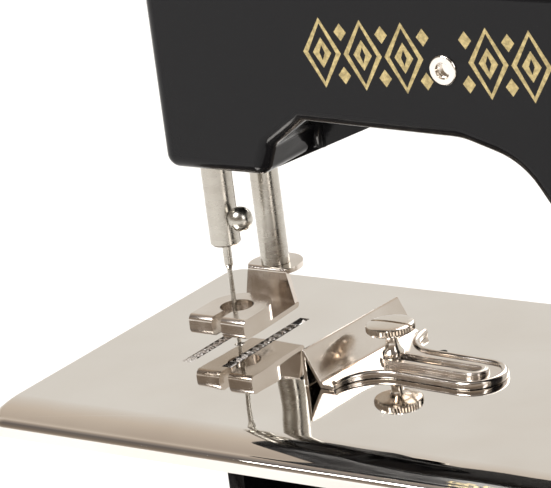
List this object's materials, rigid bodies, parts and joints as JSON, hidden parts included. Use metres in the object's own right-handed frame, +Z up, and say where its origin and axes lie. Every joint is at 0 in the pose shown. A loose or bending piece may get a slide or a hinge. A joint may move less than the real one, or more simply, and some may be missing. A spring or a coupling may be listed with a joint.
{
  "type": "hand-crank child's sewing machine",
  "caption": "Small cast-frame sewing machine: needle bar and clamp, bent presser foot, polished bed plate, slotted seam guide, walking beam and geared hand wheel.",
  "frame": {"origin": "centre of the bounding box at the rest face, between the four feet", "axes": "+X along the arm from the needle to the pillar, +Y to the back, away from the operator, +Z up"},
  "size_m": [0.184, 0.0896, 0.168],
  "materials": {
    "japan": "gloss black japanned cast iron with a plain gold line ornament",
    "nickel": "polished nickel plate, lightly worn",
    "steel": "turned and ground steel",
    "spring_steel": "spring wire",
    "bronze": "bronze bearing",
    "wood": "turned, stained and varnished hardwood",
    "rubber": "black rubber"
  },
  "bodies": {
    "machine": {"frame_casting": "japan", "rubber_feet": "rubber", "bed_plate": "nickel", "plate_screws": "steel", "pivot_pin": "nickel", "pivot_nut": "steel", "crank_bush": "bronze", "wheel_stud": "steel", "tension_post": "nickel", "tension_disc_lower": "nickel", "tension_disc_upper": "nickel", "tension_spring": "spring_steel", "spool_pin": "nickel", "thread_guide": "nickel", "lifter_pin": "steel", "presser_spring": "spring_steel"},
    "needle_bar_group": {"needle_bar": "nickel", "needle": "steel", "needle_stud": "steel", "take_up_eyelet": "nickel"},
    "needle_clamp": {"needle_clamp_screw": "nickel"},
    "presser_group": {"presser_bar": "nickel", "presser_foot": "nickel", "presser_cap": "nickel", "presser_collar": "steel"},
    "lifter": {"lifter_lever": "nickel"},
    "beam": {"walking_beam": "steel"},
    "crank": {"crank_shaft": "steel", "pinion": "steel", "crank_disc": "steel", "crank_pin": "steel"},
    "wheel": {"drive_wheel": "nickel", "handle_screw": "steel"},
    "handle": {"handle_knob": "wood"},
    "tension_adjuster": {"tension_nut": "nickel"},
    "feed_slide": {"feed_carrier": "steel"},
    "feed_lifter": {"feed_dog": "steel"},
    "looper_group": {"looper_shaft": "steel", "looper": "steel", "looper_rocker": "steel", "looper_roller": "steel", "shaft_collars": "steel"},
    "guide_pivot": {"guide_bush": "steel"},
    "guide": {"seam_guide": "nickel"},
    "guide_screw": {"guide_thumbscrew": "nickel"}
  },
  "joints": [
    {"name": "beam_swing", "type": "hinge", "parent": "machine", "child": "beam", "pos_m": [0.0035, 0.01015, 0.1207], "axis": [0, 1, 0], "range_deg": [-6.2, 6.2]},
    {"name": "needle_slide", "type": "slide", "parent": "machine", "child": "needle_bar_group", "axis": [0, 0, 1], "range_m": [-0.007, 0.007]},
    {"name": "clamp_turn", "type": "hinge", "parent": "needle_bar_group", "child": "needle_clamp", "pos_m": [-0.0552, 0.0022, 0.083], "axis": [0.9659, -0.2588, 0], "range_deg": [-360, 0]},
    {"name": "lifter_turn", "type": "hinge", "parent": "machine", "child": "lifter", "pos_m": [-0.061, 0.02835, 0.1025], "axis": [0, 1, 0], "range_deg": [0, 90]},
    {"name": "presser_slide", "type": "slide", "parent": "machine", "child": "presser_group", "axis": [0, 0, 1], "range_m": [-0.0033, 0], "deforming": ["presser_spring"]},
    {"name": "wheel_spin", "type": "hinge", "parent": "machine", "child": "wheel", "pos_m": [0.062, -0.013, 0.08915], "axis": [0, 1, 0], "continuous": true},
    {"name": "crank_spin", "type": "hinge", "parent": "machine", "child": "crank", "pos_m": [0.062, -0.01275, 0.1207], "axis": [0, 1, 0], "continuous": true},
    {"name": "handle_spin", "type": "hinge", "parent": "wheel", "child": "handle", "pos_m": [0.08, -0.02925, 0.08915], "axis": [0, 1, 0], "continuous": true},
    {"name": "tension_turn", "type": "hinge", "parent": "machine", "child": "tension_adjuster", "pos_m": [-0.027, 0.00975, 0.149], "axis": [0, 0, 1], "range_deg": [-360, 360]},
    {"name": "feed_shift", "type": "slide", "parent": "machine", "child": "feed_slide", "axis": [0, 1, 0], "range_m": [-0.002, 0.002]},
    {"name": "feed_lift", "type": "slide", "parent": "feed_slide", "child": "feed_lifter", "axis": [0, 0, 1], "range_m": [-0.0012, 0.0005]},
    {"name": "looper_rock", "type": "hinge", "parent": "machine", "child": "looper_group", "pos_m": [-0.061, 0.00375, 0.029], "axis": [1, 0, 0], "range_deg": [-10, 20]},
    {"name": "guide_swing", "type": "hinge", "parent": "machine", "child": "guide_pivot", "pos_m": [-0.0219, 0.00385, 0.055], "axis": [0, 0, 1], "range_deg": [-8, 10]},
    {"name": "guide_shift", "type": "slide", "parent": "guide_pivot", "child": "guide", "axis": [0.9976, -0.0698, 0], "range_m": [-0.015, 0]},
    {"name": "guide_screw_turn", "type": "hinge", "parent": "machine", "child": "guide_screw", "pos_m": [-0.0219, 0.00385, 0.059], "axis": [0, 0, 1], "range_deg": [-360, 360]}
  ],
  "couplings": [
    {"joint": "needle_slide", "follows": "beam_swing", "m_per_rad": 0.0645},
    {"joint": "lifter_turn", "follows": "presser_slide", "rad_per_m": -475.99},
    {"joint": "crank_spin", "follows": "wheel_spin", "ratio": -4}
  ]
}
